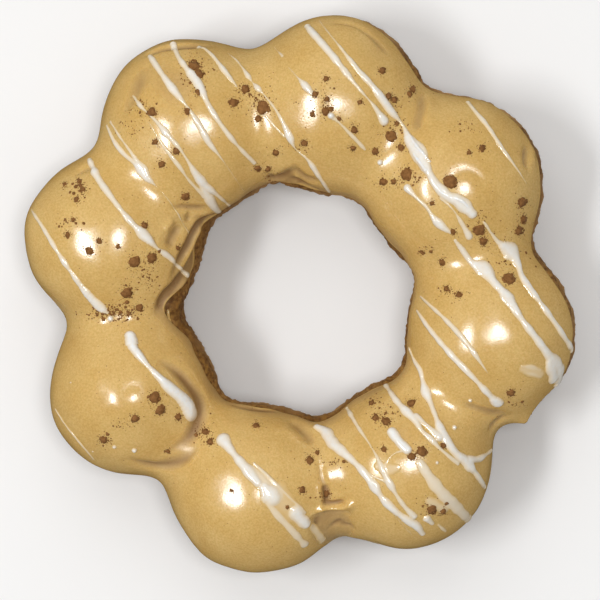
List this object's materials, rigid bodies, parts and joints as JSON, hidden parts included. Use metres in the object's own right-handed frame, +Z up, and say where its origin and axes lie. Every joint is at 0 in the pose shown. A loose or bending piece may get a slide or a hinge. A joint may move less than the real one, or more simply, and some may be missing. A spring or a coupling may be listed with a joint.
{
  "type": "mochi doughnut",
  "caption": "Beaded ring doughnut of joined dough balls under a glossy caramel icing coat with white drizzle and cocoa specks.",
  "frame": {"origin": "middle of the ring's outline, at the height of the table it rests on", "axes": "+Z up along the ring's axis, +Y towards the top of the picture, +X towards its right"},
  "size_m": [0.0889, 0.09, 0.0266],
  "materials": {
    "dough": "fried dough, matte, browned on its domes and paler at the waist",
    "icing": "set caramel icing, smooth and glossy, with white drizzle and matte cocoa on it",
    "drizzle": "white sugar drizzle, glossy and slightly see-through where thin",
    "cocoa": "dry cocoa clumps and dust, matte"
  },
  "bodies": {
    "root": {"dough": "dough", "icing": "icing"}
  },
  "joints": []
}
